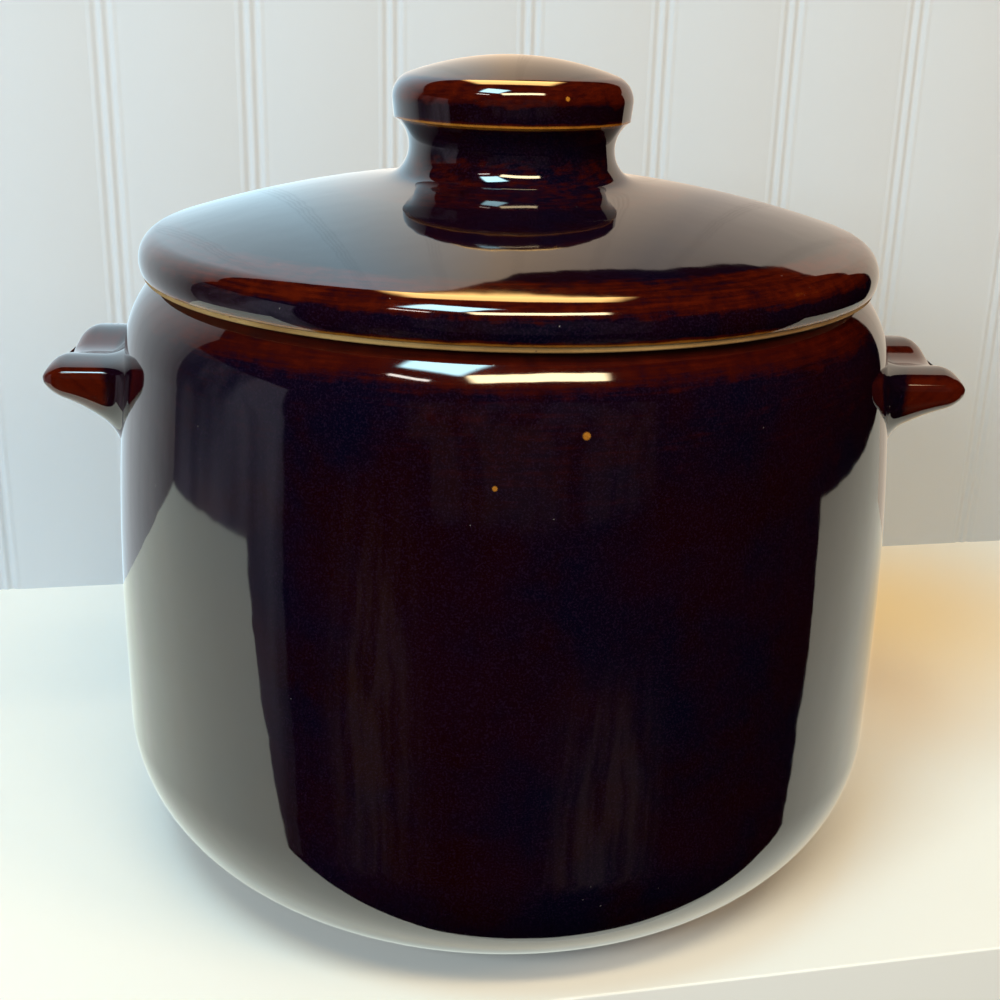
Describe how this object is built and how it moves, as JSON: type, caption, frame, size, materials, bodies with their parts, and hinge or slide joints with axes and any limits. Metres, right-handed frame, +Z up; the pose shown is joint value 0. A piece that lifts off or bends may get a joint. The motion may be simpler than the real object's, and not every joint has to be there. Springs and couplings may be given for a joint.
{
  "type": "lidded bean pot",
  "caption": "Barrel-sided stoneware bean pot with two thumb lugs and a loose domed lid that lifts off by a mushroom knob.",
  "frame": {"origin": "centre of the circle that the pot stands on", "axes": "+Z up through the knob, X through the two lugs, Y from front to back"},
  "size_m": [0.2088, 0.184, 0.1882],
  "materials": {
    "dark_glaze": "glossy aubergine-brown stoneware glaze, rust where it runs thin, bare tan clay on the lid's seat band and the foot ring",
    "rust_glaze": "the same glossy glaze, thinner and redder on the lugs and the knob"
  },
  "bodies": {
    "pot": {"crock": "dark_glaze", "handle_left": "rust_glaze", "handle_right": "rust_glaze"},
    "lid": {"lid": "dark_glaze", "lid_knob": "rust_glaze"}
  },
  "joints": [
    {"name": "lid_lift", "type": "slide", "parent": "pot", "child": "lid", "axis": [0, 0, 1], "range_m": [0, 0.1]}
  ]
}
